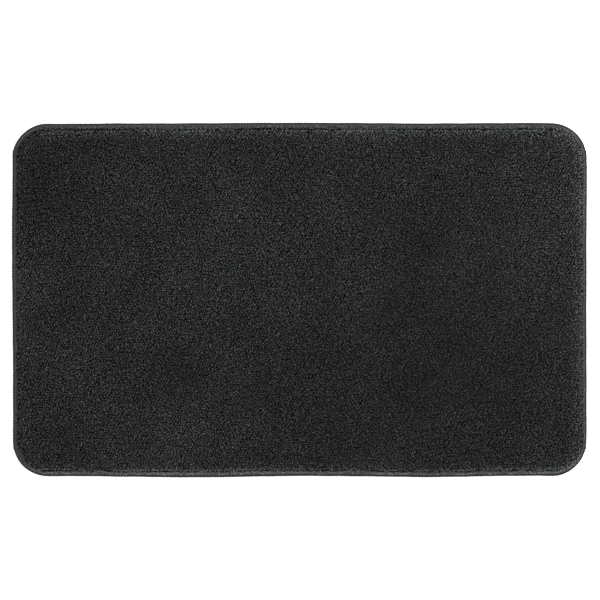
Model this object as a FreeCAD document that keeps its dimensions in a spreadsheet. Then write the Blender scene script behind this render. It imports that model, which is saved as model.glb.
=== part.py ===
import FreeCAD, Part
import os
import Sketcher

# Bath mat: a rounded rectangle of cut-pile fabric with a rubber back and a serged edge.
# The layers lie on each other and the serging threads wrap the edges of all of them.
# Millimetres. The origin is the middle of the underside, +X along the mat, +Y across it, +Z up.

doc = FreeCAD.newDocument("BathMat")

# ---- driving dimensions ----

DIMENSIONS = [
    ("mat_length", 812),
    ("mat_width", 500),
    ("corner_radius", 50),
    # layers in the field of the mat, from the floor up
    ("antislip_thickness", 1.2),
    ("precoat_thickness", 0.6),
    ("cloth_thickness", 0.5),
    ("pile_height", 14.7),
    ("pile_shoulder", 8),
    # serged edge: threads wrapped round the rim, from the edge in to the needle line
    ("serging_width", 6),
    ("serging_lift", 0.1),
    ("thread_thickness", 0.7),
    ("thread_bend", 1.6),
    ("pressed_pile", 1.2),
    ("needle_thread", 0.6),
    # care label, sewn flat on the underside along one short edge
    ("label_length", 50),
    ("label_width", 25),
    ("label_thickness", 0.3),
    ("label_from_edge", 16),
    ("label_hem", 2.5),
    ("label_stitches", 7),
    ("label_stitch_pitch", 3.3),
    ("label_stitch_length", 2.4),
    ("label_stitch_thread", 0.25),
]

sheet = doc.addObject("Spreadsheet::Sheet", "Sizes")
for row, (alias, value) in enumerate(DIMENSIONS, start=1):
    sheet.set(f"A{row}", alias)
    sheet.set(f"B{row}", str(value))
    sheet.setAlias(f"B{row}", alias)
doc.recompute()

# Depths in from the mat's edge, and heights above the floor, as expressions on the sheet.
UNDER_THREADS = "Sizes.thread_thickness"
NEEDLE_LINE = "Sizes.serging_width"
FIELD_EDGE = "(Sizes.serging_width + Sizes.needle_thread)"
FLANGE_UNDERSIDE = "(Sizes.serging_lift + Sizes.thread_thickness)"
PRECOAT_UNDERSIDE = "Sizes.antislip_thickness"
CLOTH_UNDERSIDE = f"({PRECOAT_UNDERSIDE} + Sizes.precoat_thickness)"
PILE_UNDERSIDE = f"({CLOTH_UNDERSIDE} + Sizes.cloth_thickness)"
PRESSED_PILE_TOP = f"({PILE_UNDERSIDE} + Sizes.pressed_pile)"
SERGING_TOP = f"({PRESSED_PILE_TOP} + Sizes.thread_thickness)"
SERGING_MIDDLE = f"(({SERGING_TOP} + Sizes.serging_lift) / 2)"
LABEL_X = "(Sizes.label_from_edge + Sizes.label_width / 2 - Sizes.mat_length / 2)"
LABEL_RECESS = "(Sizes.label_thickness + Sizes.label_stitch_thread + 0.05)"


# ---- sketches and features that the sub-parts share ----


def new_body(label, underside="0"):
    """An empty body whose own base plane lies at the height given by an expression."""
    body = doc.addObject("PartDesign::Body", label)
    body.Label = label
    body.Placement = FreeCAD.Placement()
    body.setExpression("Placement.Base.z", underside)
    return body


def new_sketch(body, name, height):
    """A sketch parallel to the body's base plane, at a height above it."""
    base_plane = next(f for f in body.Origin.OriginFeatures if f.Role == "XY_Plane")
    sketch = body.newObject("Sketcher::SketchObject", name)
    sketch.AttachmentSupport = [(base_plane, "")]
    sketch.MapMode = "FlatFace"
    sketch.setExpression("AttachmentOffset.Base.z", height)
    return sketch


def outline_sketch(body, name, depth, height="0"):
    """The mat's outline, moved in from the edge by a depth: four lines joined by four corner arcs."""
    sketch = new_sketch(body, name, height)
    half_length = sheet.mat_length / 2
    half_width = sheet.mat_width / 2
    radius = float(sheet.corner_radius)
    corners = [
        (half_length - radius, radius - half_width),
        (half_length - radius, half_width - radius),
        (radius - half_length, half_width - radius),
        (radius - half_length, radius - half_width),
    ]
    quarter = 1.5707963267948966
    arcs = []
    for turn, (x, y) in enumerate(corners):
        circle = Part.Circle(FreeCAD.Vector(x, y, 0), FreeCAD.Vector(0, 0, 1), radius)
        arcs.append(Part.ArcOfCircle(circle, (turn - 1) * quarter, turn * quarter))
    for side in range(4):
        sketch.addGeometry(Part.LineSegment(arcs[side - 1].EndPoint, arcs[side].StartPoint))
        sketch.addGeometry(arcs[side])
    # Even numbers are the lines, in the order front, right, back, left, and odd numbers the arcs.
    for line, direction in ((0, "Horizontal"), (2, "Vertical"), (4, "Horizontal"), (6, "Vertical")):
        sketch.addConstraint(Sketcher.Constraint(direction, line))
    for element in range(8):
        following = (element + 1) % 8
        sketch.addConstraint(Sketcher.Constraint("Tangent", element, 2, following, 1))
    for arc in (3, 5, 7):
        sketch.addConstraint(Sketcher.Constraint("Equal", 1, arc))
    sketch.addConstraint(Sketcher.Constraint("Symmetric", 0, 1, 4, 1, -1, 1))
    sizes = [
        ("length", Sketcher.Constraint("DistanceX", 6, 1, 2, 1, 2 * half_length)),
        ("width", Sketcher.Constraint("DistanceY", 0, 1, 4, 1, 2 * half_width)),
        ("radius", Sketcher.Constraint("Radius", 1, radius)),
    ]
    for size_name, constraint in sizes:
        index = sketch.addConstraint(constraint)
        sketch.renameConstraint(index, size_name)
    sketch.setExpression("Constraints.length", f"Sizes.mat_length - 2 * {depth}")
    sketch.setExpression("Constraints.width", f"Sizes.mat_width - 2 * {depth}")
    sketch.setExpression("Constraints.radius", f"Sizes.corner_radius - {depth}")
    return sketch


def add_rectangle(sketch, name, along_x, along_y, middle_x, middle_y):
    """A rectangle in a sketch, from expressions for its sides and its middle."""
    first = sketch.GeometryCount
    points = [FreeCAD.Vector(x, y, 0) for x, y in ((0, 0), (10, 0), (10, 10), (0, 10))]
    for side in range(4):
        sketch.addGeometry(Part.LineSegment(points[side], points[(side + 1) % 4]))
    for side in range(4):
        following = first + (side + 1) % 4
        sketch.addConstraint(Sketcher.Constraint("Coincident", first + side, 2, following, 1))
    for side, direction in enumerate(("Horizontal", "Vertical", "Horizontal", "Vertical")):
        sketch.addConstraint(Sketcher.Constraint(direction, first + side))
    sizes = [
        ("along_x", Sketcher.Constraint("DistanceX", first, 1, first, 2, 10), along_x),
        ("along_y", Sketcher.Constraint("DistanceY", first + 1, 1, first + 1, 2, 10), along_y),
        ("left", Sketcher.Constraint("DistanceX", -1, 1, first, 1, 1), f"{middle_x} - {along_x} / 2"),
        ("front", Sketcher.Constraint("DistanceY", -1, 1, first, 1, 1), f"{middle_y} - {along_y} / 2"),
    ]
    for size_name, constraint, expression in sizes:
        index = sketch.addConstraint(constraint)
        sketch.renameConstraint(index, f"{name}_{size_name}")
        sketch.setExpression(f"Constraints.{name}_{size_name}", expression)


def add_pad(body, name, sketch, thickness):
    """Thickens a sketch upwards."""
    pad = body.newObject("PartDesign::Pad", name)
    pad.Profile = sketch
    pad.setExpression("Length", thickness)
    doc.recompute()
    return pad


def add_pocket_upwards(body, name, sketch, cut_height):
    """Cuts a sketch out of the body from the sketch's plane upwards, and makes sure that it cut something."""
    before = body.Shape.Volume
    pocket = body.newObject("PartDesign::Pocket", name)
    pocket.Profile = sketch
    pocket.Reversed = True
    pocket.setExpression("Length", cut_height)
    doc.recompute()
    if body.Shape.Volume >= before:
        raise RuntimeError(f"{name} cut nothing")
    return pocket


def round_edges_at(body, name, feature, height, radius):
    """Rounds the outer edges that lie at one height of a feature."""
    chosen = []
    for number, edge in enumerate(feature.Shape.Edges, start=1):
        off_level = max(abs(vertex.Z - height) for vertex in edge.Vertexes)
        if off_level < 1e-4:
            chosen.append(f"Edge{number}")
    if not chosen:
        raise RuntimeError(f"{name} found no edges at {height}")
    fillet = body.newObject("PartDesign::Fillet", name)
    fillet.Base = (feature, chosen)
    fillet.setExpression("Radius", radius)
    doc.recompute()
    return fillet


# ---- antislip backing: the synthetic rubber skin that the mat rests on ----

antislip = new_body("antislip_backing")
field = outline_sketch(antislip, "antislip_field_outline", FIELD_EDGE)
add_pad(antislip, "antislip_field", field, "Sizes.antislip_thickness")
flange = outline_sketch(antislip, "antislip_rim_outline", UNDER_THREADS, FLANGE_UNDERSIDE)
add_pad(antislip, "antislip_rim", flange, f"Sizes.antislip_thickness - {FLANGE_UNDERSIDE}")
recess = new_sketch(antislip, "label_recess_outline", "0")
add_rectangle(recess, "recess", "Sizes.label_width", "Sizes.label_length", LABEL_X, "0")
add_pocket_upwards(antislip, "label_recess", recess, LABEL_RECESS)

# ---- latex precoat: the glue that locks the tufts into the cloth ----

precoat = new_body("latex_precoat", PRECOAT_UNDERSIDE)
precoat_outline = outline_sketch(precoat, "precoat_outline", UNDER_THREADS)
add_pad(precoat, "precoat_layer", precoat_outline, "Sizes.precoat_thickness")

# ---- primary backing: the woven cloth that the tufts are stitched through ----

cloth = new_body("primary_backing_cloth", CLOTH_UNDERSIDE)
cloth_outline = outline_sketch(cloth, "cloth_outline", UNDER_THREADS)
add_pad(cloth, "cloth_layer", cloth_outline, "Sizes.cloth_thickness")

# ---- pile: the cut tufts, upright in the field and pressed flat under the serging ----

pile = new_body("pile_tufts", PILE_UNDERSIDE)
pressed_outline = outline_sketch(pile, "pressed_pile_outline", UNDER_THREADS)
add_pad(pile, "pressed_pile", pressed_outline, "Sizes.pressed_pile")
standing_outline = outline_sketch(pile, "standing_pile_outline", FIELD_EDGE)
standing = add_pad(pile, "standing_pile", standing_outline, "Sizes.pile_height")
round_edges_at(pile, "pile_shoulder", standing, sheet.pile_height, "Sizes.pile_shoulder")


# ---- serging: two looper threads that wrap the rim and meet at its edge ----


def looper_thread(label, underside, thickness, is_upper):
    """Half of the wrapped rim: a plate round the edge, hollowed where it covers the layers."""
    body = new_body(label, underside)
    plate = add_pad(body, f"{label}_wrap", outline_sketch(body, f"{label}_outline", "0"), thickness)
    outer_face_height = plate.Shape.BoundBox.ZMax if is_upper else 0.0
    round_edges_at(body, f"{label}_bend", plate, outer_face_height, "Sizes.thread_bend")
    hollow_height = "0" if is_upper else "Sizes.thread_thickness"
    hollow = outline_sketch(body, f"{label}_hollow_outline", UNDER_THREADS, hollow_height)
    add_pocket_upwards(body, f"{label}_hollow", hollow, f"{thickness} - Sizes.thread_thickness")
    opening = outline_sketch(body, f"{label}_opening_outline", NEEDLE_LINE)
    add_pocket_upwards(body, f"{label}_opening", opening, thickness)


looper_thread("upper_looper_thread", SERGING_MIDDLE, f"({SERGING_TOP} - {SERGING_MIDDLE})", True)
looper_thread("lower_looper_thread", "Sizes.serging_lift", f"({SERGING_MIDDLE} - Sizes.serging_lift)", False)

# ---- needle thread: the line of stitches that holds both looper threads, above and below ----

needle = new_body("needle_thread", "Sizes.serging_lift")
top_line_height = f"({PRESSED_PILE_TOP} - Sizes.serging_lift)"
for place, height in (("under", "Sizes.thread_thickness - Sizes.needle_thread"), ("top", top_line_height)):
    line_outline = outline_sketch(needle, f"{place}_line_outline", NEEDLE_LINE, height)
    add_pad(needle, f"{place}_line", line_outline, "Sizes.needle_thread")
    inside_outline = outline_sketch(needle, f"{place}_line_inside", FIELD_EDGE, height)
    add_pocket_upwards(needle, f"{place}_line_hollow", inside_outline, "Sizes.needle_thread")

# ---- care label: a blank tape in a recess of the underside, with a seam along each short end ----

label_underside = f"({LABEL_RECESS} - Sizes.label_thickness)"
label = new_body("care_label", label_underside)
label_outline = new_sketch(label, "label_outline", "0")
add_rectangle(label_outline, "label", "Sizes.label_width", "Sizes.label_length", LABEL_X, "0")
add_pad(label, "label_tape", label_outline, "Sizes.label_thickness")

label_seams = new_body("care_label_stitches", f"({label_underside} - Sizes.label_stitch_thread)")
stitch_outline = new_sketch(label_seams, "stitch_outline", "0")
first_stitch_x = f"({LABEL_X} - Sizes.label_stitch_pitch * (Sizes.label_stitches - 1) / 2)"
for end, sign in (("front", "-1"), ("back", "1")):
    add_rectangle(
        stitch_outline,
        end,
        "Sizes.label_stitch_length",
        "Sizes.label_stitch_thread",
        first_stitch_x,
        f"{sign} * (Sizes.label_length / 2 - Sizes.label_hem)",
    )
stitch = add_pad(label_seams, "stitch", stitch_outline, "Sizes.label_stitch_thread")
seam_row = label_seams.newObject("PartDesign::LinearPattern", "seam_row")
seam_row.Originals = [stitch]
seam_row.Direction = (stitch_outline, ["H_Axis"])
seam_row.setExpression("Occurrences", "Sizes.label_stitches")
seam_row.setExpression("Length", "Sizes.label_stitch_pitch * (Sizes.label_stitches - 1)")
label_seams.Tip = seam_row

# ---- check every object, then write one STEP file for each sub-part ----

doc.recompute()
for item in doc.Objects:
    if "Invalid" in item.State or "Error" in item.State:
        raise RuntimeError(f"{item.Name} failed: {item.State}")

bodies = [item for item in doc.Objects if item.isDerivedFrom("PartDesign::Body")]
for body in bodies:
    if body.Shape.isNull() or not body.Shape.isValid():
        raise RuntimeError(f"{body.Label} has no valid shape")

os.makedirs("parts", exist_ok=True)
for body in bodies:
    body.Shape.exportStep(f"parts/{body.Label}.step")
    box = body.Shape.optimalBoundingBox()
    print(
        f"{body.Label}: {len(body.Shape.Solids)} solids, {body.Shape.Volume / 1000:.2f} cm3, "
        f"x {box.XMin:.2f} to {box.XMax:.2f}, y {box.YMin:.2f} to {box.YMax:.2f}, "
        f"z {box.ZMin:.2f} to {box.ZMax:.2f}"
    )
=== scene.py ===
import math
import random
from collections import namedtuple

import bmesh
import bpy
import numpy as np
from mathutils import Matrix, Vector, noise


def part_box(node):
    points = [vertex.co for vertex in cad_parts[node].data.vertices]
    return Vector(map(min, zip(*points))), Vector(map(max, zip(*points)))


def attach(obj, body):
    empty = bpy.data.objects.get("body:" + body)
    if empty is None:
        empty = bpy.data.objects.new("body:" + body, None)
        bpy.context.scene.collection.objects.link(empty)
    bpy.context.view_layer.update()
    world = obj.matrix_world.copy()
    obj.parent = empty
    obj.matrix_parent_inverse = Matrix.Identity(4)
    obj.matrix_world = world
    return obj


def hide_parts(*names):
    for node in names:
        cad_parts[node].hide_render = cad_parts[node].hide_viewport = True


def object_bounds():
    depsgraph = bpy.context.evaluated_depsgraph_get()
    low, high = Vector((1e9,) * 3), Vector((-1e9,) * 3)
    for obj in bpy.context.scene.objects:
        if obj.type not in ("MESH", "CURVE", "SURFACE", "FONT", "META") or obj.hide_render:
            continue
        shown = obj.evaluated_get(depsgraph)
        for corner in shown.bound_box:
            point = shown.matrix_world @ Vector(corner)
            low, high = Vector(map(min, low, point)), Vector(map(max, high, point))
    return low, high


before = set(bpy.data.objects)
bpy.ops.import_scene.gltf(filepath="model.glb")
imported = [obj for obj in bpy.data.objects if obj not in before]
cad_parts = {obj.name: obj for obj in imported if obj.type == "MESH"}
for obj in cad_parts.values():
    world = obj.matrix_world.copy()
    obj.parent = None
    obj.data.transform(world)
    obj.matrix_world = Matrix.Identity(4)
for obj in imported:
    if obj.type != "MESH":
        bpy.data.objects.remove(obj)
cad_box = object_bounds()

# ---- camera ----
# Straight above the mat, far enough away for the near and far edges to show at one scale.

MM = 0.001
CAMERA_HEIGHT = 3.2
MAT_SHARE_OF_PICTURE = 0.9567
PICTURE_OFFSET = (0.9 * MM, -0.1 * MM)
SENSOR_WIDTH = 36
SIGHT = 60

mat_length, mat_width, _ = Vector(cad_box[1]) - Vector(cad_box[0])

camera_data = bpy.data.cameras.new("camera")
camera = bpy.data.objects.new("camera", camera_data)
bpy.context.scene.collection.objects.link(camera)
camera.location = (*PICTURE_OFFSET, CAMERA_HEIGHT)
camera_data.sensor_width = SENSOR_WIDTH
camera_data.lens = SENSOR_WIDTH * CAMERA_HEIGHT * MAT_SHARE_OF_PICTURE / mat_length
camera_data.clip_end = SIGHT
bpy.context.scene.camera = camera

# ---- primary backing cloth ----
# The woven polypropylene cloth that the tufts are stitched through. It is cut to the mat's outline after it
# is coated, so every layer ends at the same place, under the serging.

OUTLINE_RADIUS = 50 * MM
LAYER_DEPTH = 0.7 * MM
CORNER_OVERHANG = 10 * MM
CORNER_STEPS = 16
STRAIGHT_CUTS = 12
SLACK_REACH = 90 * MM
SWELL = 1.5 * MM
SWELL_WAVES = (6, 6)
WOBBLE = 0.5 * MM
WOBBLE_WAVES = (30, 30)
CLOTH_DARK = (0.1, 0.1, 0.097, 1)
CLOTH_LIGHT = (0.16, 0.16, 0.155, 1)
TAPES_PER_METRE = 800


def past_straights(x, y):
    """How far a place is past the ends of the mat's straight edges, along and across the mat."""
    return abs(x) - (mat_length / 2 - OUTLINE_RADIUS), abs(y) - (mat_width / 2 - OUTLINE_RADIUS)


def depth_inside(x, y):
    """How far a place is in from the mat's edge."""
    past_x, past_y = past_straights(x, y)
    round_corner = math.hypot(max(past_x, 0), max(past_y, 0))
    return OUTLINE_RADIUS - round_corner - min(max(past_x, past_y), 0)


def way_out(x, y):
    """The direction from a place straight out to the nearest edge."""
    past_x, past_y = past_straights(x, y)
    if past_x > 0 and past_y > 0:
        way = Vector((math.copysign(past_x, x), math.copysign(past_y, y)))
    elif past_x > past_y:
        way = Vector((math.copysign(1, x), 0))
    else:
        way = Vector((0, math.copysign(1, y)))
    return way.normalized()


def drift(x, y, waves, layer):
    """A smooth unevenness over the mat, from about -1 to 1, with so many waves to a metre along the mat and
    across it. Each use has a layer of its own."""
    return noise.noise(Vector((waves[0] * x, waves[1] * y, layer)))


def slack(x, y):
    """The small shift, out or in, of a place near an edge that was cut and sewn by hand."""
    share = max(0.0, 1 - depth_inside(x, y) / SLACK_REACH)
    if share == 0:
        return Vector((0, 0))
    swell = SWELL * drift(x, y, SWELL_WAVES, 0.4)
    wobble = WOBBLE * drift(x, y, WOBBLE_WAVES, 5.2)
    return way_out(x, y) * (swell + wobble) * share


def pull_out(bm, face, way):
    """Extrudes a face along a way. Gives the face at the far end."""
    made = bmesh.ops.extrude_face_region(bm, geom=[face, *face.edges])["geom"]
    end = next(f for f in made if isinstance(f, bmesh.types.BMFace))
    bmesh.ops.translate(bm, vec=way, verts=end.verts)
    return end


def mat_plate(bm, depth, low, high):
    """A plate of the mat's outline moved in by a depth, between two heights. Gives its two flat faces."""
    square = bmesh.ops.create_grid(bm, x_segments=1, y_segments=1, size=1)["verts"]
    bmesh.ops.scale(bm, vec=(mat_length / 2 - depth, mat_width / 2 - depth, 1), verts=square)
    bmesh.ops.translate(bm, vec=(0, 0, low), verts=square)
    bmesh.ops.subdivide_edges(bm, edges=bm.edges[:], cuts=STRAIGHT_CUTS)
    corners = [v for v in bm.verts if depth_inside(*v.co.xy) < depth - CORNER_OVERHANG]
    rounded = bmesh.ops.bevel(
        bm,
        geom=corners,
        offset=OUTLINE_RADIUS - depth,
        offset_type="OFFSET",
        segments=CORNER_STEPS,
        profile=0.5,
        affect="VERTICES",
        material=-1,
    )
    for vertex in rounded["verts"]:
        vertex.co.xy += way_out(*vertex.co.xy) * (depth_inside(*vertex.co.xy) - depth)
    lower = rounded["verts"][0].link_faces[0]
    upper = pull_out(bm, lower, (0, 0, high - low))
    bmesh.ops.recalc_face_normals(bm, faces=bm.faces)
    return lower, upper


def settle(bm):
    """Gives a plate the same slack edge as everything sewn to it."""
    for vertex in bm.verts:
        vertex.co.xy += slack(*vertex.co.xy)


def make_piece(bm, name, material, node):
    """Turns a bmesh into a piece of the mat that stands for a CAD node."""
    mesh = bpy.data.meshes.new(name)
    bm.to_mesh(mesh)
    bm.free()
    mesh.materials.append(material)
    piece = bpy.data.objects.new(name, mesh)
    bpy.context.scene.collection.objects.link(piece)
    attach(piece, "root")
    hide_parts(node)
    return piece


def new_material(name):
    """A node material, with its node tree and its Principled shader."""
    material = bpy.data.materials.new(name)
    material.use_nodes = True
    tree = material.node_tree
    shader = next(n for n in tree.nodes if n.type == "BSDF_PRINCIPLED")
    return material, tree, shader


def add_node(tree, kind, inputs, **settings):
    """A node whose inputs, by name or number, each take a value or another node's output."""
    node = tree.nodes.new(kind)
    for key, value in settings.items():
        setattr(node, key, value)
    for key, value in inputs.items():
        if isinstance(value, bpy.types.NodeSocket):
            tree.links.new(value, node.inputs[key])
        else:
            node.inputs[key].default_value = value
    return node


def blend_colours(tree, share, first, second):
    """The colour between two colours at a share, which is a node's output."""
    inputs = {"Factor": share, "A": first, "B": second}
    node = add_node(tree, "ShaderNodeMix", {}, data_type="RGBA")
    for key, value in inputs.items():
        socket = next(s for s in node.inputs if s.name == key and s.enabled)
        if isinstance(value, bpy.types.NodeSocket):
            tree.links.new(value, socket)
        else:
            socket.default_value = value
    return next(s for s in node.outputs if s.enabled)


def raise_surface(tree, shader, height, depth, strength):
    """Bumps a shader's surface by a height, which is a node's output."""
    bump = add_node(tree, "ShaderNodeBump", {"Height": height, "Distance": depth, "Strength": strength})
    tree.links.new(bump.outputs["Normal"], shader.inputs["Normal"])


def plain_weave():
    """Shader group: flat tapes woven one over, one under. Puts out which way the tape on top runs, and its
    height."""
    group = bpy.data.node_groups.new("plain_weave", "ShaderNodeTree")
    group.interface.new_socket("Vector", in_out="INPUT", socket_type="NodeSocketVector")
    group.interface.new_socket("Tapes per Metre", in_out="INPUT", socket_type="NodeSocketFloat")
    group.interface.new_socket("Way", in_out="OUTPUT", socket_type="NodeSocketFloat")
    group.interface.new_socket("Height", in_out="OUTPUT", socket_type="NodeSocketFloat")
    given = add_node(group, "NodeGroupInput", {}).outputs
    result = add_node(group, "NodeGroupOutput", {})
    place = add_node(
        group, "ShaderNodeVectorMath", {"Vector": given[0], "Scale": given[1]}, operation="SCALE"
    )
    way = add_node(group, "ShaderNodeTexChecker", {"Vector": place.outputs[0], "Scale": 1.0})
    along = add_node(group, "ShaderNodeSeparateXYZ", {0: place.outputs[0]})
    crowns = []
    for axis in ("X", "Y"):
        turn = add_node(group, "ShaderNodeMath", {0: along.outputs[axis], 1: math.pi}, operation="MULTIPLY")
        wave = add_node(group, "ShaderNodeMath", {0: turn.outputs[0]}, operation="SINE")
        crowns.append(add_node(group, "ShaderNodeMath", {0: wave.outputs[0]}, operation="ABSOLUTE"))
    height = add_node(
        group, "ShaderNodeMix", {0: way.outputs["Fac"], 2: crowns[0].outputs[0], 3: crowns[1].outputs[0]}
    )
    group.links.new(way.outputs["Fac"], result.inputs["Way"])
    group.links.new(height.outputs[0], result.inputs["Height"])
    return group


WEAVE = plain_weave()


def woven_tape_material():
    """Slit polypropylene tapes, a little glossy, with the warp a shade darker than the weft."""
    material, tree, shader = new_material("woven_tapes")
    place = add_node(tree, "ShaderNodeTexCoord", {})
    weave = tree.nodes.new("ShaderNodeGroup")
    weave.node_tree = WEAVE
    weave.inputs["Tapes per Metre"].default_value = TAPES_PER_METRE
    tree.links.new(place.outputs["Object"], weave.inputs["Vector"])
    colour = blend_colours(tree, weave.outputs["Way"], CLOTH_DARK, CLOTH_LIGHT)
    tree.links.new(colour, shader.inputs["Base Color"])
    raise_surface(tree, shader, weave.outputs["Height"], 0.3 * MM, 0.6)
    shader.inputs["Roughness"].default_value = 0.5
    return material


cloth_low, cloth_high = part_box("primary_backing_cloth")
bm = bmesh.new()
mat_plate(bm, LAYER_DEPTH, cloth_low.z, cloth_high.z)
settle(bm)
cloth = make_piece(bm, "backing_cloth", woven_tape_material(), "primary_backing_cloth")

# ---- latex precoat ----
# A spread coat of latex on the back of the cloth. It soaks the backs of the tufts and dries round them, which
# locks them in. It dries cream, mottled, with small burst bubbles.

LATEX_CREAM = (0.55, 0.5, 0.4, 1)
LATEX_THIN = (0.38, 0.34, 0.27, 1)


def dried_latex_material():
    """Cream latex with darker thin places and bubbles."""
    material, tree, shader = new_material("dried_latex")
    place = add_node(tree, "ShaderNodeTexCoord", {}).outputs["Object"]
    mottle = add_node(tree, "ShaderNodeTexNoise", {"Vector": place, "Scale": 90.0, "Detail": 4.0})
    bubbles = add_node(tree, "ShaderNodeTexVoronoi", {"Vector": place, "Scale": 420.0})
    colour = blend_colours(tree, mottle.outputs["Fac"], LATEX_THIN, LATEX_CREAM)
    tree.links.new(colour, shader.inputs["Base Color"])
    raise_surface(tree, shader, bubbles.outputs["Distance"], 0.2 * MM, 0.5)
    shader.inputs["Roughness"].default_value = 0.65
    return material


precoat_low, precoat_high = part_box("latex_precoat")
bm = bmesh.new()
mat_plate(bm, LAYER_DEPTH, precoat_low.z, precoat_high.z)
settle(bm)
make_piece(bm, "latex_layer", dried_latex_material(), "latex_precoat")

# ---- pile ----
# Cut tufts of fine polyester yarn, stitched through the cloth in rows along the mat. Each tuft is a U of yarn
# whose two legs burst into soft locks at the cut. The whole pile lies over a little one way, the nap.

BAKE_MAP = "OFBake"
PILE_TIP = (0.0119, 0.0126, 0.0125, 1)
# Painted shade: the near-black colour each lock darkens to at its root. The yarn itself has the tip's colour.
PILE_ROOT_PAINTED_SHADE = (0.0005, 0.0005, 0.0005, 1)
TONES = 64
TONE_RANGE = 40.0
ROW_GAUGE = 3.55 * MM
STITCH_PITCH = 4.1 * MM
STITCH_JITTER = 0.12 * MM
TUFT_KINDS = 12
LOCK_SIDES = 3
LOCK_TURN = 0.12
LOCK_CROOK = 0.25 * MM
LOCK_POINT = 0.5 * MM
LOCK_SPLAY = 1.5
LOCK_HEIGHTS = (0.86, 1.0)
LOCK_SPREADS = (0.9, 1.15)
LOCK_RADII = (0.85, 1.1)
LOCK_WAIST = 0.6
FOOT_RADIUS = 0.5 * MM
LOCK_RADIUS = 1.2 * MM
LOCK_SPREAD = 1.4 * MM
FIELD_LEVELS = (0.84,)
RIM_LEVELS = (0.45, 0.84)
# Where each tuft's foot starts in the map, which sets how much painted root shade its flanks take. Field
# tufts stay dark up to two thirds of their height, rim tufts lighten from their feet up.
FIELD_FOOT_MAP = 0.03
RIM_FOOT_MAP = 0.7
TOP_OF_MAP = 0.97
MAP_REACH = 0.4
NAP = Vector((0.06, -0.07))
SWIRL = 0.08
SWIRL_WAVES = (9, 9)
GRAIN_ANGLE = math.radians(56)
GRAIN_STRETCH = 1.12
LOCK_TONES = (-0.34, -0.12, 0.03, 0.12, 0.19)
TUFT_TONE = 0.014
RIM_CALM = 0.2
TUFT_HEIGHTS = (0.96, 1.0)
TUFT_WIDTHS = (0.96, 1.04)
LEAN_JITTER = 0.012
RIM_KIND_FROM = 0.3
RIM_NAP = 0.2
RIM_LEAN = 0.03
RIM_DROP = 0.3
CLUMP_WAVES = (80, 80)
CLUMP_LEAN = 0.2
# Painted light: tufts by the rim whose clump leans out are painted lighter, and those that lean in are
# painted darker.
CLUMP_PAINTED_LIGHT = 0.06
BASE_TONE = 0.48
BEND = 0.12
BEND_WAVES = (4, 5)
BROAD_TONE = 0.04
BROAD_WAVES = (7, 4)
BROAD_SLANT = 0.5
CLOUD_TONE = 0.05
CLOUD_WAVES = (17, 20)
PATCH_TONE = 0.015
PATCH_WAVES = (45, 50)
# The marks of a hand brushed over the pile, and in the last four a painted lighter strip down the right end
# of the mat: where along and across the mat, how far each reaches, its shade.
BRUSH_MARKS_AND_PAINTED_LIGHT = (
    (-0.10, 0.14, 0.20, 0.035),
    (0.15, -0.12, 0.17, -0.05),
    (0.33, -0.10, 0.09, -0.04),
    (-0.17, -0.10, 0.05, -0.05),
    (-0.16, -0.19, 0.05, 0.05),
    (0.18, 0.10, 0.05, -0.07),
    (-0.37, 0.17, 0.06, -0.08),
    (0.28, 0.08, 0.10, 0.03),
    (0.39, 0.23, 0.08, 0.08),
    (0.40, 0.09, 0.07, 0.05),
    (0.40, -0.05, 0.07, 0.05),
    (0.39, -0.18, 0.07, 0.05),
)
PATCHES = (4, 2)
RIM_ROW_DEPTH = 7.4 * MM
SHOULDER_DEPTH = 14.5 * MM
RIM_PITCH = 3.2 * MM
CLOSEST_TUFTS = 2.9 * MM
FILL_PITCH = 1.0 * MM
FILL_STEPS = 8
RIM_JITTER = 0.25 * MM
ROW_WANDER = 1.0 * MM
WANDER_WAVES = (90, 90)
# Painted light and shade by the rim: the fallen row is darker along the top and sides and lighter along the
# bottom, the row behind it is in painted shade, and a painted lighter band lies inside them.
RIM_PAINTED_LIGHT = -0.16
RIM_PAINTED_LIGHT_ACROSS = (-0.165, 0.145)
SECOND_ROW_SHADE = 0.3
PAINTED_BAND = 0.12
PAINTED_BAND_ACROSS = Vector((0.05, 0.05))
BAND_DEPTHS = (27 * MM, 12 * MM)
BAND_CORNER_FADE = 1.2
PRESSED_HEIGHT = 1.2 * MM
FOOT_HEIGHT = 5.5 * MM
KNOB_SIZE = 2 * MM
# Painted shade: the feet are coloured near black for the shade down the gaps, and darker still between the
# knobs.
FOOT_PAINTED_SHADE = (0.006, 0.006, 0.006, 1)
FOOT_GAP_PAINTED_SHADE = (0.002, 0.002, 0.002, 1)

Tuft = namedtuple("Tuft", "place lean tall full tone contrast at_rim")
Shape = namedtuple("Shape", "mesh rest lock_of_corner")

pile_low, pile_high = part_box("pile_tufts")
pile_height = pile_high.z - pile_low.z
draw = random.Random(11)


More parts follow.
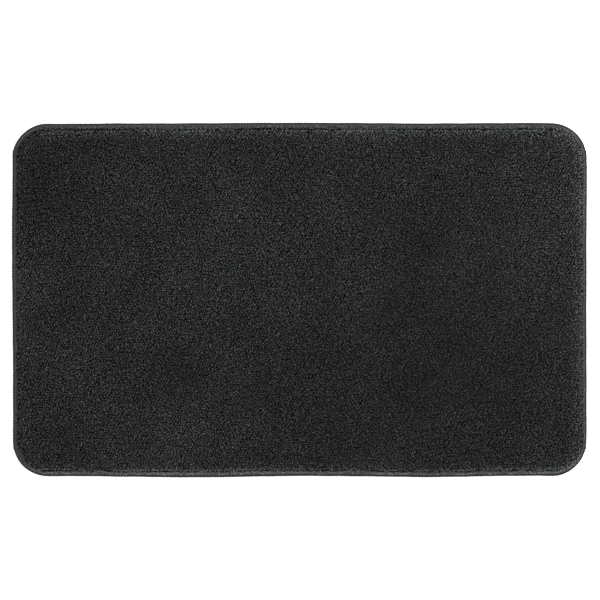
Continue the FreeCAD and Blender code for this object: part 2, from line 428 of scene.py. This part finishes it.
def add_lock(bm, foot, tip, radius, levels, top):
    """One three-sided lock of fibres that swells from its foot and ends in a low point."""
    matrix = Matrix.Translation(foot) @ Matrix.Rotation(draw.uniform(0, 2), 4, "Z")
    ring = bmesh.ops.create_circle(
        bm, cap_ends=True, segments=LOCK_SIDES, radius=FOOT_RADIUS, matrix=matrix
    )["verts"]
    face = ring[0].link_faces[0]
    centre = foot.copy()
    size = FOOT_RADIUS
    for share in levels:
        wanted = foot.lerp(tip, (share / levels[-1]) ** LOCK_SPLAY)
        wanted += Vector((draw.uniform(-LOCK_CROOK, LOCK_CROOK), draw.uniform(-LOCK_CROOK, LOCK_CROOK), 0))
        wanted.z = top * share
        swell = radius * (LOCK_WAIST + (1 - LOCK_WAIST) * share / levels[-1])
        face = pull_out(bm, face, wanted - centre)
        grown = swell / size
        bmesh.ops.scale(bm, vec=(grown, grown, 1), verts=face.verts, space=Matrix.Translation(-wanted))
        centre = wanted
        size = swell
    point = bmesh.ops.poke(bm, faces=[face])["verts"]
    aside = [draw.uniform(-LOCK_POINT, LOCK_POINT) for axis in "xy"]
    bmesh.ops.translate(bm, vec=(*aside, top - centre.z), verts=point)


def keep_shape(bm, lock_of_face):
    """Keeps a small shape to be copied many times, with its points at rest."""
    corners = [lock_of_face[face] for face in bm.faces for loop in face.loops]
    mesh = bpy.data.meshes.new("shape")
    bm.to_mesh(mesh)
    bm.free()
    rest = np.empty(len(mesh.vertices) * 3, np.float32)
    mesh.vertices.foreach_get("co", rest)
    return Shape(mesh, rest, np.array(corners))


def copy_shape(bm, shape, matrix):
    """Adds a copy of a kept shape to a bmesh."""
    shape.mesh.transform(matrix)
    bm.from_mesh(shape.mesh)
    shape.mesh.vertices.foreach_set("co", shape.rest)


def cut_tuft(levels, foot_map):
    """One tuft standing on the origin: a few locks that spread towards the cut. Its map runs across each lock
    and up it, from its foot's place in the map."""
    bm = bmesh.new()
    lie = bm.loops.layers.uv.new(BAKE_MAP)
    lock_of_face = {}
    for lock in range(len(LOCK_TONES)):
        turn = 2 * math.pi * (lock + draw.uniform(-LOCK_TURN, LOCK_TURN)) / (len(LOCK_TONES) - 1)
        way = Vector((math.cos(turn), math.sin(turn), 0)) if lock else Vector()
        tip = way * LOCK_SPREAD * draw.uniform(*LOCK_SPREADS)
        radius = LOCK_RADIUS * draw.uniform(*LOCK_RADII)
        add_lock(bm, way * FOOT_RADIUS, tip, radius, levels, pile_height * draw.uniform(*LOCK_HEIGHTS))
        for face in bm.faces:
            lock_of_face.setdefault(face, lock)
    bmesh.ops.recalc_face_normals(bm, faces=bm.faces)
    for face in bm.faces:
        middle = face.calc_center_median()
        for loop in face.loops:
            aside = loop.vert.co - middle
            across = max(-1, min(1, (aside.x + aside.y) / (2 * LOCK_RADIUS)))
            up = foot_map + (TOP_OF_MAP - foot_map) * loop.vert.co.z / pile_height
            loop[lie].uv = (0.5 + MAP_REACH * across, up)
    return keep_shape(bm, lock_of_face)


def nap_lean(x, y):
    """Which way the pile lies at a place: the nap, with the slow swirls that hands and feet leave."""
    return NAP + Vector([drift(x, y, SWIRL_WAVES, layer) for layer in (1.7, 8.3)]) * SWIRL


def pile_tone(x, y):
    """The pile's shade at a place, from 0 to 1, before each lock's own: broad bands, clouds, small patches,
    the brushed strokes and a painted lighter strip down the right end of the mat."""
    bend = BEND * drift(x, y, BEND_WAVES, 7.7)
    broad = drift(x + bend, y - bend + BROAD_SLANT * x, BROAD_WAVES, 3.3)
    clouds = drift(x, y, CLOUD_WAVES, 9.2)
    patches = drift(x, y, PATCH_WAVES, 6.1)
    tone = BASE_TONE + BROAD_TONE * broad + CLOUD_TONE * clouds + PATCH_TONE * patches
    for stroke_x, stroke_y, reach, shade in BRUSH_MARKS_AND_PAINTED_LIGHT:
        tone += shade * math.exp(-((x - stroke_x) ** 2 + (y - stroke_y) ** 2) / reach**2)
    return tone


def rim_places(depth, pitch):
    """Evenly spaced places round the mat at a depth in from its edge, each with its way out."""
    radius = OUTLINE_RADIUS - depth
    reach = Vector((mat_length / 2 - OUTLINE_RADIUS, mat_width / 2 - OUTLINE_RADIUS))
    corners = [Vector((x * reach.x, y * reach.y)) for x, y in ((1, -1), (1, 1), (-1, 1), (-1, -1))]
    places = []
    for side in range(4):
        start, end = corners[side], corners[(side + 1) % 4]
        steps = round((end - start).length / pitch)
        bends = round(radius * math.pi / 2 / pitch)
        stops = [(start.lerp(end, step / steps), side) for step in range(steps)]
        stops += [(end, side + bend / bends) for bend in range(bends)]
        for centre, quarters in stops:
            angle = quarters * math.pi / 2
            out = Vector((math.cos(angle), math.sin(angle)))
            places.append((centre + out * radius, out))
    return places


def nearness(place, far, close):
    """How near a place is to the rim: 0 at a far depth or deeper, 1 at a close depth or nearer."""
    return min(1.0, max(0.0, (far - depth_inside(*place)) / (far - close)))


def rim_light(place, near, clump):
    """What a tuft's place by the rim adds to its tone, all of it painted light and shade: the fallen row
    painted darker along the top and sides and lighter along the bottom, lighter or darker with the lean of
    its clump, painted shade on the row behind it, and a painted lighter band inside them, lighter towards the
    right and top, which fades out round the two left corners."""
    out = way_out(*place)
    slope, bend = RIM_PAINTED_LIGHT_ACROSS
    lit = near * (RIM_PAINTED_LIGHT + out.y * (slope + bend * out.y)) + CLUMP_PAINTED_LIGHT * clump
    band = PAINTED_BAND + PAINTED_BAND_ACROSS.dot(out)
    fade = 1 + BAND_CORNER_FADE * min(0, out.x) * abs(out.y)
    lit += nearness(place, *BAND_DEPTHS) * band * fade
    return lit - SECOND_ROW_SHADE * near * (1 - near)


def stand_tuft(place):
    """A tuft for a place. It falls outwards and is shorter the nearer it stands to the rim."""
    near = nearness(place, SHOULDER_DEPTH, RIM_ROW_DEPTH)
    out = way_out(*place)
    clump = near * drift(*place, CLUMP_WAVES, 6.8)
    lean = nap_lean(*place) * (1 + RIM_NAP * near) + out * (RIM_LEAN * near + CLUMP_LEAN * clump)
    lean += Vector((draw.gauss(0, LEAN_JITTER), draw.gauss(0, LEAN_JITTER)))
    tall = draw.uniform(*TUFT_HEIGHTS) * (1 - RIM_DROP * near * near)
    full = draw.uniform(*TUFT_WIDTHS)
    tone = pile_tone(*place) + rim_light(place, near, clump)
    contrast = 1 - RIM_CALM * near * (1 - out.y)
    return Tuft(place, lean, tall, full, tone, contrast, near > RIM_KIND_FROM)


taken = {}


def plant_place(place, room):
    """Marks a place as planted, unless a tuft already stands within some room of it. Says whether it did."""
    column, line = math.floor(place.x / ROW_GAUGE), math.floor(place.y / ROW_GAUGE)
    for cell in ((column + i, line + j) for i in (-1, 0, 1) for j in (-1, 0, 1)):
        if any((place - other).length < room for other in taken.get(cell, ())):
            return False
    taken.setdefault((column, line), []).append(place)
    return True


places = []
for place, _ in rim_places(RIM_ROW_DEPTH, RIM_PITCH):
    places.append(place + Vector((draw.gauss(0, RIM_JITTER), draw.gauss(0, RIM_JITTER))))
    plant_place(places[-1], 0)
rows = int(mat_width / ROW_GAUGE) + 1
stitches = int(mat_length / STITCH_PITCH) + 1
for row in range(rows):
    for stitch in range(stitches):
        x = (stitch - (stitches - 1) / 2 + 0.5 * (row % 2) - 0.25) * STITCH_PITCH
        y = (row - (rows - 1) / 2) * ROW_GAUGE
        wander = Vector([drift(x, y, WANDER_WAVES, layer) for layer in (0.5, 4.5)])
        place = Vector((x, y)) + wander * ROW_WANDER
        place += Vector((draw.gauss(0, STITCH_JITTER), draw.gauss(0, STITCH_JITTER)))
        if depth_inside(*place) > RIM_ROW_DEPTH + CLOSEST_TUFTS and plant_place(place, 0):
            places.append(place)
for step in range(FILL_STEPS):
    for place, _ in rim_places(RIM_ROW_DEPTH + CLOSEST_TUFTS + step * FILL_PITCH, FILL_PITCH):
        place += Vector((draw.gauss(0, STITCH_JITTER), draw.gauss(0, STITCH_JITTER)))
        if plant_place(place, CLOSEST_TUFTS):
            places.append(place)
tufts = [stand_tuft(place) for place in places]


def cut_pile_material():
    """Dark dull yarn, rougher at the cut, with fine fibres along each lock. Each lock is darkened from its
    tip down to near black at its root, as painted shade of the deep pile.
    """
    material, tree, shader = new_material("cut_pile")
    lie = add_node(tree, "ShaderNodeUVMap", {}, uv_map=BAKE_MAP).outputs["UV"]
    parts = add_node(tree, "ShaderNodeSeparateXYZ", {"Vector": lie})
    # Painted shade: below two thirds of the way up the map each lock is near black, and it lightens to the
    # yarn's colour at the tip.
    painted_root_shade = add_node(
        tree,
        "ShaderNodeMapRange",
        {"Value": parts.outputs["Y"], "From Min": 0.66, "From Max": 1.0},
        interpolation_type="SMOOTHSTEP",
    )
    finer = (4.0 * TONES, 6.0, 1.0)
    stretched = add_node(tree, "ShaderNodeVectorMath", {0: lie, 1: finer}, operation="MULTIPLY")
    fibres = add_node(tree, "ShaderNodeTexNoise", {"Vector": stretched.outputs[0], "Scale": 1.0})
    tone = add_node(
        tree, "ShaderNodeMath", {0: TONE_RANGE, 1: parts.outputs["X"]}, operation="POWER"
    )
    streak = add_node(
        tree, "ShaderNodeMapRange", {"Value": fibres.outputs["Fac"], "To Min": 0.75, "To Max": 1.25}
    )
    colour = blend_colours(tree, painted_root_shade.outputs[0], PILE_ROOT_PAINTED_SHADE, PILE_TIP)
    for shade in (tone, streak):
        colour = add_node(
            tree, "ShaderNodeVectorMath", {"Vector": colour, "Scale": shade.outputs[0]}, operation="SCALE"
        ).outputs[0]
    dull = add_node(tree, "ShaderNodeMapRange", {"Value": parts.outputs["Y"], "To Min": 0.95, "To Max": 0.8})
    tree.links.new(colour, shader.inputs["Base Color"])
    tree.links.new(dull.outputs[0], shader.inputs["Roughness"])
    raise_surface(tree, shader, fibres.outputs["Fac"], 0.3 * MM, 0.5)
    shader.inputs["Specular IOR Level"].default_value = 0.04
    shader.inputs["Sheen Weight"].default_value = 0.01
    return material


field_kinds = [cut_tuft(FIELD_LEVELS, FIELD_FOOT_MAP) for kind in range(TUFT_KINDS)]
rim_kinds = [cut_tuft(RIM_LEVELS, RIM_FOOT_MAP) for kind in range(TUFT_KINDS)]
grain = Matrix.Rotation(GRAIN_ANGLE, 4, "Z")
grain = grain @ Matrix.Diagonal((GRAIN_STRETCH, 1 / GRAIN_STRETCH, 1, 1)) @ grain.inverted()


def plant(bm, tuft):
    """Adds one tuft to a patch. Gives the tone of each corner of its faces, from 0 to 1."""
    shape = draw.choice(rim_kinds if tuft.at_rim else field_kinds)
    leaning = Matrix.Identity(4)
    leaning[0][2], leaning[1][2] = tuft.lean
    size = Matrix.Diagonal((tuft.full, tuft.full, tuft.tall, 1))
    turn = Matrix.Rotation(draw.uniform(0, 2 * math.pi), 4, "Z")
    place = (tuft.place + slack(*tuft.place)).to_3d()
    place.z = pile_low.z
    copy_shape(bm, shape, Matrix.Translation(place) @ leaning @ grain @ size @ turn)
    tones = np.array(draw.sample(LOCK_TONES, len(LOCK_TONES)))
    tones = tones * tuft.contrast + tuft.tone + draw.gauss(0, TUFT_TONE)
    return tones[shape.lock_of_corner]


patches = {}
for tuft in tufts:
    column = int((tuft.place.x / mat_length + 0.5) * PATCHES[0])
    line = int((tuft.place.y / mat_width + 0.5) * PATCHES[1])
    patches.setdefault((column, line), []).append(tuft)

pile_yarn = cut_pile_material()
for (column, line), planted in sorted(patches.items()):
    bm = bmesh.new()
    tones = np.concatenate([plant(bm, tuft) for tuft in planted])
    patch = make_piece(bm, f"pile_patch_{column + 1}_{line + 1}", pile_yarn, "pile_tufts")
    lie = patch.data.uv_layers[BAKE_MAP].uv
    across = np.empty(len(lie) * 2, np.float32)
    lie.foreach_get("vector", across)
    across[0::2] = (np.clip(tones * TONES, 0, TONES - 1).astype(int) + across[0::2]) / TONES
    lie.foreach_set("vector", across)


def pile_foot_shade_material():
    """The close-packed feet of the tufts, seen only down the gaps, with a knobbly grain. Their near-black
    colour is painted shade of the deep pile, darkest in the hollows between the knobs.
    """
    material, tree, shader = new_material("pile_foot")
    place = add_node(tree, "ShaderNodeTexCoord", {}).outputs["Object"]
    knobs = add_node(tree, "ShaderNodeTexVoronoi", {"Vector": place, "Scale": 1 / KNOB_SIZE})
    # Painted shade, darkest in the hollows between the knobs.
    colour = blend_colours(tree, knobs.outputs["Distance"], FOOT_PAINTED_SHADE, FOOT_GAP_PAINTED_SHADE)
    tree.links.new(colour, shader.inputs["Base Color"])
    raise_surface(tree, shader, knobs.outputs["Distance"], 0.5 * MM, 0.8)
    shader.inputs["Roughness"].default_value = 0.95
    return material


bm = bmesh.new()
_, upper = mat_plate(bm, LAYER_DEPTH, pile_low.z, pile_low.z + PRESSED_HEIGHT)
bmesh.ops.inset_region(bm, faces=[upper], thickness=RIM_ROW_DEPTH - LAYER_DEPTH)
pull_out(bm, upper, (0, 0, FOOT_HEIGHT - PRESSED_HEIGHT))
settle(bm)
make_piece(bm, "pile_foot", pile_foot_shade_material(), "pile_tufts")

# ---- antislip backing ----
# A skin of soft grey rubber compound, cast on the back of the mat with rows of small grip dots. The serging
# presses its edge thinner, and it is cut away under the care label.

SKIN_HEIGHT = 0.35 * MM
RIM_DEPTH = 6.6 * MM
PRESSED_SKIN = 0.4 * MM
FLAT_WITHIN = 0.01 * MM
LABEL_RECESS = 0.6 * MM
LABEL_ROOM = 1.2 * MM
DOT_PITCH = 8.0 * MM
DOT_RADIUS = 1.5 * MM
DOT_CROWN = 0.95 * MM
DOT_SIDES = 6
DOT_POINT = 0.05 * MM
DOTS_FROM_EDGE = 11 * MM
RUBBER_GREY = (0.06, 0.061, 0.063, 1)
RUBBER_WORN = (0.1, 0.102, 0.105, 1)

_, skin_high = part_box("antislip_backing")
label_low, label_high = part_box("care_label")


def rubber_material():
    """Dull grey rubber with a cast pebble and paler dusty patches."""
    material, tree, shader = new_material("antislip_rubber")
    place = add_node(tree, "ShaderNodeTexCoord", {}).outputs["Object"]
    dust = add_node(tree, "ShaderNodeTexNoise", {"Vector": place, "Scale": 14.0, "Detail": 6.0})
    pebble = add_node(tree, "ShaderNodeTexNoise", {"Vector": place, "Scale": 900.0, "Detail": 3.0})
    colour = blend_colours(tree, dust.outputs["Fac"], RUBBER_GREY, RUBBER_WORN)
    dull = add_node(
        tree, "ShaderNodeMapRange", {"Value": dust.outputs["Fac"], "To Min": 0.45, "To Max": 0.75}
    )
    tree.links.new(colour, shader.inputs["Base Color"])
    tree.links.new(dull.outputs[0], shader.inputs["Roughness"])
    raise_surface(tree, shader, pebble.outputs["Fac"], 0.15 * MM, 0.6)
    return material


def over_label(x, y, room):
    """Whether a place lies over the care label, or closer to it than some room."""
    inside_x = label_low.x - room < x < label_high.x + room
    return inside_x and label_low.y - room < y < label_high.y + room


def under_faces(bm):
    """The faces of the skin that lie on its underside."""
    return [f for f in bm.faces if f.calc_center_median().z < SKIN_HEIGHT + FLAT_WITHIN]


bm = bmesh.new()
lower, _ = mat_plate(bm, LAYER_DEPTH, skin_high.z - PRESSED_SKIN, skin_high.z)
bmesh.ops.inset_region(bm, faces=[lower], thickness=RIM_DEPTH - LAYER_DEPTH)
pull_out(bm, lower, (0, 0, SKIN_HEIGHT + PRESSED_SKIN - skin_high.z))
for axis, low, high in ((0, label_low.x, label_high.x), (1, label_low.y, label_high.y)):
    for at in (low - LABEL_ROOM / 2, high + LABEL_ROOM / 2):
        parts = dict.fromkeys(part for f in under_faces(bm) for part in (f, *f.edges, *f.verts))
        normal = Vector((1 - axis, axis, 0))
        bmesh.ops.bisect_plane(bm, geom=list(parts), plane_co=normal * at, plane_no=normal)
recess = next(f for f in under_faces(bm) if over_label(*f.calc_center_median().xy, 0))
pull_out(bm, recess, (0, 0, LABEL_RECESS - SKIN_HEIGHT))
bmesh.ops.recalc_face_normals(bm, faces=bm.faces)
settle(bm)
rubber = rubber_material()
make_piece(bm, "antislip_skin", rubber, "antislip_backing")

bm = bmesh.new()
ring = bmesh.ops.create_circle(bm, cap_ends=True, segments=DOT_SIDES, radius=DOT_RADIUS)["verts"]
bmesh.ops.translate(bm, vec=(0, 0, SKIN_HEIGHT + DOT_POINT), verts=ring)
crown = pull_out(bm, ring[0].link_faces[0], (0, 0, -SKIN_HEIGHT))
shrink = DOT_CROWN / DOT_RADIUS
bmesh.ops.scale(bm, vec=(shrink, shrink, 1), verts=crown.verts)
point = bmesh.ops.poke(bm, faces=[crown])["verts"]
bmesh.ops.translate(bm, vec=(0, 0, -DOT_POINT), verts=point)
bmesh.ops.recalc_face_normals(bm, faces=bm.faces)
dot = keep_shape(bm, dict.fromkeys(bm.faces, 0))

dot_gauge = DOT_PITCH * math.sqrt(0.75)
dot_rows = int(mat_width / dot_gauge)
dots_across = int(mat_length / DOT_PITCH)
bm = bmesh.new()
for row in range(dot_rows + 1):
    for column in range(dots_across + 1):
        x = (column - dots_across / 2 + 0.5 * (row % 2)) * DOT_PITCH
        y = (row - dot_rows / 2) * dot_gauge
        if depth_inside(x, y) > DOTS_FROM_EDGE and not over_label(x, y, DOT_RADIUS + LABEL_ROOM):
            copy_shape(bm, dot, Matrix.Translation((Vector((x, y)) + slack(x, y)).to_3d()))
make_piece(bm, "grip_dots", rubber, "antislip_backing")

# ---- serging ----
# Two bulky looper threads cover the raw edge in close turns, one over it and one under it, and lock together
# along the edge. A fine needle thread holds both along a line of stitches inside the rim.

STITCH_LENGTH = 4.0 * MM
THREAD_WIDE = 1.25 * MM
THREAD_THICK = 0.42 * MM
THREAD_SIDES = 6
TURN_SLANT = 0.45 * MM
TURN_JITTER = (0.08 * MM, 0.05 * MM)
END_PINCH = 0.8
MAP_MARGIN = 0.04
MAP_ROUND = 0.9
UPPER_TURN = ((6.3, 3.3), (5.4, 3.72), (3.6, 3.8), (1.7, 3.55), (0.75, 2.95), (0.42, 2.1))
LOWER_TURN = ((6.3, 0.8), (5.4, 0.54), (3.6, 0.52), (1.7, 0.72), (0.75, 1.3), (0.42, 2.2))
THREAD_DARK = (0.026, 0.0265, 0.0263, 1)
THREAD_LIGHT = (0.066, 0.067, 0.0665, 1)
# Painted shade: the near-black colour of the threads' outer half, round the edge.
THREAD_EDGE_PAINTED_SHADE = (0.003, 0.003, 0.003, 1)


def thread_rings(bm, count, sides, matrix):
    """A closed thread with all its rings still in one place, ready to be pulled apart. Gives the rings."""
    start = bmesh.ops.create_circle(bm, cap_ends=True, segments=sides, radius=1, matrix=matrix)["verts"]
    face = start[0].link_faces[0]
    rings = [list(face.verts)]
    for _ in range(count - 1):
        face = pull_out(bm, face, (0, 0, 0))
        rings.append(list(face.verts))
    return rings


def map_ring(lie, ring, along):
    """Maps one ring of a thread: across the map round the thread, and up it by how far along the ring is."""
    up = MAP_MARGIN + (1 - 2 * MAP_MARGIN) * along
    for step, vertex in enumerate(ring):
        for loop in vertex.link_loops:
            loop[lie].uv = (MAP_MARGIN + MAP_ROUND * step / len(ring), up)


def thread_turn(route, slant):
    """One turn of thread across the rim: a flattened tube along a route of depths and heights in millimetres.
    Its map runs round the thread and along it."""
    bm = bmesh.new()
    lie = bm.loops.layers.uv.new(BAKE_MAP)
    last = len(route) - 1
    points = [
        Vector((slant * (2 * index / last - 1), -depth * MM, height * MM))
        for index, (depth, height) in enumerate(route)
    ]
    for index, ring in enumerate(thread_rings(bm, len(points), THREAD_SIDES, Matrix())):
        ahead = (points[min(index + 1, last)] - points[max(index - 1, 0)]).normalized()
        side = Vector((1, 0, 0))
        up = side.cross(ahead).normalized()
        pinch = END_PINCH if index in (0, last) else 1.0
        lay = Matrix((side * THREAD_WIDE * pinch, up * THREAD_THICK * pinch, ahead)).transposed().to_4x4()
        bmesh.ops.transform(bm, matrix=Matrix.Translation(points[index]) @ lay, verts=ring)
        map_ring(lie, ring, index / last)
    bmesh.ops.recalc_face_normals(bm, faces=bm.faces)
    return keep_shape(bm, dict.fromkeys(bm.faces, 0))


def looper_yarn_material():
    """Soft bulked thread with fine plies along it, a little lighter than the pile. The outer half of each
    turn, round the edge, is darkened to near black as painted shade.
    """
    material, tree, shader = new_material("looper_yarn")
    lie = add_node(tree, "ShaderNodeUVMap", {}, uv_map=BAKE_MAP).outputs["UV"]
    stretched = add_node(tree, "ShaderNodeVectorMath", {0: lie, 1: (16.0, 3.0, 1.0)}, operation="MULTIPLY")
    plies = add_node(tree, "ShaderNodeTexNoise", {"Vector": stretched.outputs[0], "Scale": 1.0})
    colour = blend_colours(tree, plies.outputs["Fac"], THREAD_DARK, THREAD_LIGHT)
    along = add_node(tree, "ShaderNodeSeparateXYZ", {"Vector": lie}).outputs["Y"]
    # Painted shade: the outer half of each turn, from the crown of the rim out and round the edge, fades to
    # near black.
    painted_edge_shade = add_node(tree, "ShaderNodeMapRange", {"Value": along, "From Min": 0.4, "From Max": 0.6})
    colour = blend_colours(tree, painted_edge_shade.outputs[0], colour, THREAD_EDGE_PAINTED_SHADE)
    tree.links.new(colour, shader.inputs["Base Color"])
    raise_surface(tree, shader, plies.outputs["Fac"], 0.2 * MM, 0.4)
    shader.inputs["Roughness"].default_value = 0.75
    shader.inputs["Specular IOR Level"].default_value = 0.12
    shader.inputs["Sheen Weight"].default_value = 0.04
    return material


def face_out(place, out):
    """The matrix that lays a shape at a place with its +Y to the outside of the mat."""
    turned = Matrix.Rotation(math.atan2(out.y, out.x) - math.pi / 2, 4, "Z")
    return Matrix.Translation((place + slack(*place)).to_3d()) @ turned


def wrap_rim(route, name, node, material):
    """Lays turns of thread side by side all the way round the rim, slanting to and fro."""
    kinds = [thread_turn(route, slant) for slant in (TURN_SLANT, -TURN_SLANT)]
    bm = bmesh.new()
    for index, (place, out) in enumerate(rim_places(0, STITCH_LENGTH / 2)):
        uneven = [draw.gauss(0, jitter) for jitter in TURN_JITTER]
        copy_shape(bm, kinds[index % 2], face_out(place, out) @ Matrix.Translation((*uneven, 0)))
    piece = make_piece(bm, name, material, node)
    piece.data.shade_smooth()
    return piece


looper_yarn = looper_yarn_material()
upper_turns = wrap_rim(UPPER_TURN, "upper_looper_turns", "upper_looper_thread", looper_yarn)
lower_turns = wrap_rim(LOWER_TURN, "lower_looper_turns", "lower_looper_thread", looper_yarn)

# ---- needle thread ----
# The fine twisted polyester thread of the serging's straight stitches. It shows as a line of short stitches
# over the upper looper turns, and again on the underside.

NEEDLE_DEPTH = 6.3 * MM
NEEDLE_STITCH = 3.5 * MM
NEEDLE_THICK = 0.3 * MM
NEEDLE_SIDES = 5
NEEDLE_DIP = 0.35 * MM
STITCH_SHARES = (-1, -0.6, 0.6, 1)
NEEDLE_HEIGHTS = (3.8 * MM, 0.5 * MM)
NEEDLE_DARK = (0.014, 0.014, 0.014, 1)
NEEDLE_LIGHT = (0.05, 0.05, 0.05, 1)


def sewn_stitch(length, thick, dip):
    """One straight stitch along X: a thread that rises out of the cloth, runs along it and dives in again."""
    bm = bmesh.new()
    lie = bm.loops.layers.uv.new(BAKE_MAP)
    facing = Matrix.Rotation(math.pi / 2, 4, "Y") @ Matrix.Scale(thick, 4)
    rings = thread_rings(bm, len(STITCH_SHARES), NEEDLE_SIDES, facing)
    for share, ring in zip(STITCH_SHARES, rings):
        drop = -dip if abs(share) == 1 else 0.0
        bmesh.ops.translate(bm, vec=(share * length / 2, 0, drop), verts=ring)
        map_ring(lie, ring, (1 + share) / 2)
    bmesh.ops.recalc_face_normals(bm, faces=bm.faces)
    return keep_shape(bm, dict.fromkeys(bm.faces, 0))


def twisted_thread_material(name, dark, light):
    """Hard twisted thread: slanting plies with a low shine."""
    material, tree, shader = new_material(name)
    lie = add_node(tree, "ShaderNodeUVMap", {}, uv_map=BAKE_MAP).outputs["UV"]
    plies = add_node(
        tree,
        "ShaderNodeTexWave",
        {"Vector": lie, "Scale": 1.6, "Distortion": 0.6},
        bands_direction="DIAGONAL",
    )
    colour = blend_colours(tree, plies.outputs["Fac"], dark, light)
    tree.links.new(colour, shader.inputs["Base Color"])
    raise_surface(tree, shader, plies.outputs["Fac"], 0.1 * MM, 0.6)
    shader.inputs["Roughness"].default_value = 0.5
    return material


stitch = sewn_stitch(NEEDLE_STITCH, NEEDLE_THICK, NEEDLE_DIP)
bm = bmesh.new()
for height, turn in zip(NEEDLE_HEIGHTS, (0, math.pi)):
    lay = Matrix.Translation((0, 0, height)) @ Matrix.Rotation(turn, 4, "X")
    for place, out in rim_places(NEEDLE_DEPTH, STITCH_LENGTH):
        copy_shape(bm, stitch, face_out(place, out) @ lay)
needle_yarn = twisted_thread_material("needle_thread", NEEDLE_DARK, NEEDLE_LIGHT)
needle_stitches = make_piece(bm, "needle_stitches", needle_yarn, "needle_thread")

# ---- care label ----
# A blank white satin tape, cut to length with its two ends folded and melted flat, sewn to the back of the
# mat through the skin with a short row of stitches at each end.

LABEL_RIPPLE = 0.06 * MM
RIPPLE_WAVES = (140, 140)
LABEL_CUTS = 12
LABEL_WHITE = (0.55, 0.55, 0.535, 1)
LABEL_SHADE = (0.42, 0.42, 0.4, 1)
RIBS_PER_METRE = 2600
STITCHES_IN_ROW = 7
LABEL_STITCH_PITCH = 3.3 * MM
LABEL_STITCH_LENGTH = 2.4 * MM
LABEL_STITCH_THICK = 0.12 * MM
LABEL_HEM = 2.5 * MM
LABEL_THREAD_DARK = (0.018, 0.018, 0.019, 1)
LABEL_THREAD_LIGHT = (0.055, 0.055, 0.057, 1)


def satin_tape_material():
    """White satin: fine ribs across the tape, a soft shine and a little yellowing."""
    material, tree, shader = new_material("label_satin")
    place = add_node(tree, "ShaderNodeTexCoord", {}).outputs["Object"]
    weave = tree.nodes.new("ShaderNodeGroup")
    weave.node_tree = WEAVE
    weave.inputs["Tapes per Metre"].default_value = RIBS_PER_METRE
    tree.links.new(place, weave.inputs["Vector"])
    stain = add_node(tree, "ShaderNodeTexNoise", {"Vector": place, "Scale": 60.0, "Detail": 3.0})
    colour = blend_colours(tree, stain.outputs["Fac"], LABEL_SHADE, LABEL_WHITE)
    tree.links.new(colour, shader.inputs["Base Color"])
    raise_surface(tree, shader, weave.outputs["Height"], 0.06 * MM, 0.5)
    shader.inputs["Roughness"].default_value = 0.35
    shader.inputs["Sheen Weight"].default_value = 0.2
    return material


bm = bmesh.new()
tape = bmesh.ops.create_cube(bm, size=1)["verts"]
label_size = label_high - label_low
label_middle = (label_high + label_low) / 2
bmesh.ops.scale(bm, vec=(label_size.x, label_size.y, label_size.z - 2 * LABEL_RIPPLE), verts=tape)
bmesh.ops.translate(bm, vec=label_middle, verts=tape)
long_edges = [e for e in bm.edges if abs(e.verts[0].co.z - e.verts[1].co.z) < FLAT_WITHIN]
bmesh.ops.subdivide_edges(bm, edges=long_edges, cuts=LABEL_CUTS, use_grid_fill=True)
for vertex in bm.verts:
    vertex.co.z += LABEL_RIPPLE * drift(*vertex.co.xy, RIPPLE_WAVES, 2.2)
settle(bm)
label = make_piece(bm, "care_label_tape", satin_tape_material(), "care_label")

_, stitch_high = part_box("care_label_stitches")
label_stitch = sewn_stitch(LABEL_STITCH_LENGTH, LABEL_STITCH_THICK, LABEL_STITCH_THICK)
bm = bmesh.new()
for y in (label_low.y + LABEL_HEM, label_high.y - LABEL_HEM):
    for index in range(STITCHES_IN_ROW):
        x = label_middle.x + (index - (STITCHES_IN_ROW - 1) / 2) * LABEL_STITCH_PITCH
        place = (Vector((x, y)) + slack(x, y)).to_3d()
        place.z = stitch_high.z - LABEL_STITCH_THICK
        copy_shape(bm, label_stitch, Matrix.Translation(place) @ Matrix.Rotation(math.pi, 4, "X"))
label_yarn = twisted_thread_material("label_thread", LABEL_THREAD_DARK, LABEL_THREAD_LIGHT)
label_stitches = make_piece(bm, "label_stitches", label_yarn, "care_label_stitches")

# ---- room ----
# A plain pale floor under soft studio light, not part of the mat.

FLOOR_REACH = 6
COOL_LIGHT = (0.97, 0.985, 1.0)
WARM_LIGHT = (1.0, 0.99, 0.97)
LAMP_SIZE = 1.2
LAMPS = (
    ("lamp_behind_right", (1.5, 1.65, 1.3), 90, COOL_LIGHT),
    ("lamp_behind_left", (-2.2, 2.0, 1.7), 80, WARM_LIGHT),
    ("lamp_front_right", (2.2, -2.0, 1.7), 100, COOL_LIGHT),
    ("lamp_front_left", (-2.0, -2.2, 1.7), 80, WARM_LIGHT),
)
SKY_STRENGTH = 0.56

bm = bmesh.new()
bmesh.ops.create_grid(bm, x_segments=1, y_segments=1, size=FLOOR_REACH)
floor_mesh = bpy.data.meshes.new("floor")
bm.to_mesh(floor_mesh)
bm.free()
floor_material, _, floor_shader = new_material("pale_floor")
floor_shader.inputs["Base Color"].default_value = (0.9, 0.9, 0.9, 1)
floor_shader.inputs["Roughness"].default_value = 0.9
floor_mesh.materials.append(floor_material)
floor = bpy.data.objects.new("floor", floor_mesh)
bpy.context.scene.collection.objects.link(floor)

for name, place, power, colour in LAMPS:
    lamp_data = bpy.data.lights.new(name, "AREA")
    lamp_data.size = LAMP_SIZE
    lamp_data.energy = power
    lamp_data.color = colour
    lamp = bpy.data.objects.new(name, lamp_data)
    bpy.context.scene.collection.objects.link(lamp)
    lamp.location = place
    lamp.rotation_euler = (-Vector(place)).to_track_quat("-Z", "Y").to_euler()

world = bpy.data.worlds.new("world")
world.use_nodes = True
sky = next(n for n in world.node_tree.nodes if n.type == "BACKGROUND")
sky.inputs["Color"].default_value = (1, 1, 1, 1)
sky.inputs["Strength"].default_value = SKY_STRENGTH
bpy.context.scene.world = world
bpy.context.scene.view_settings.view_transform = "Standard"
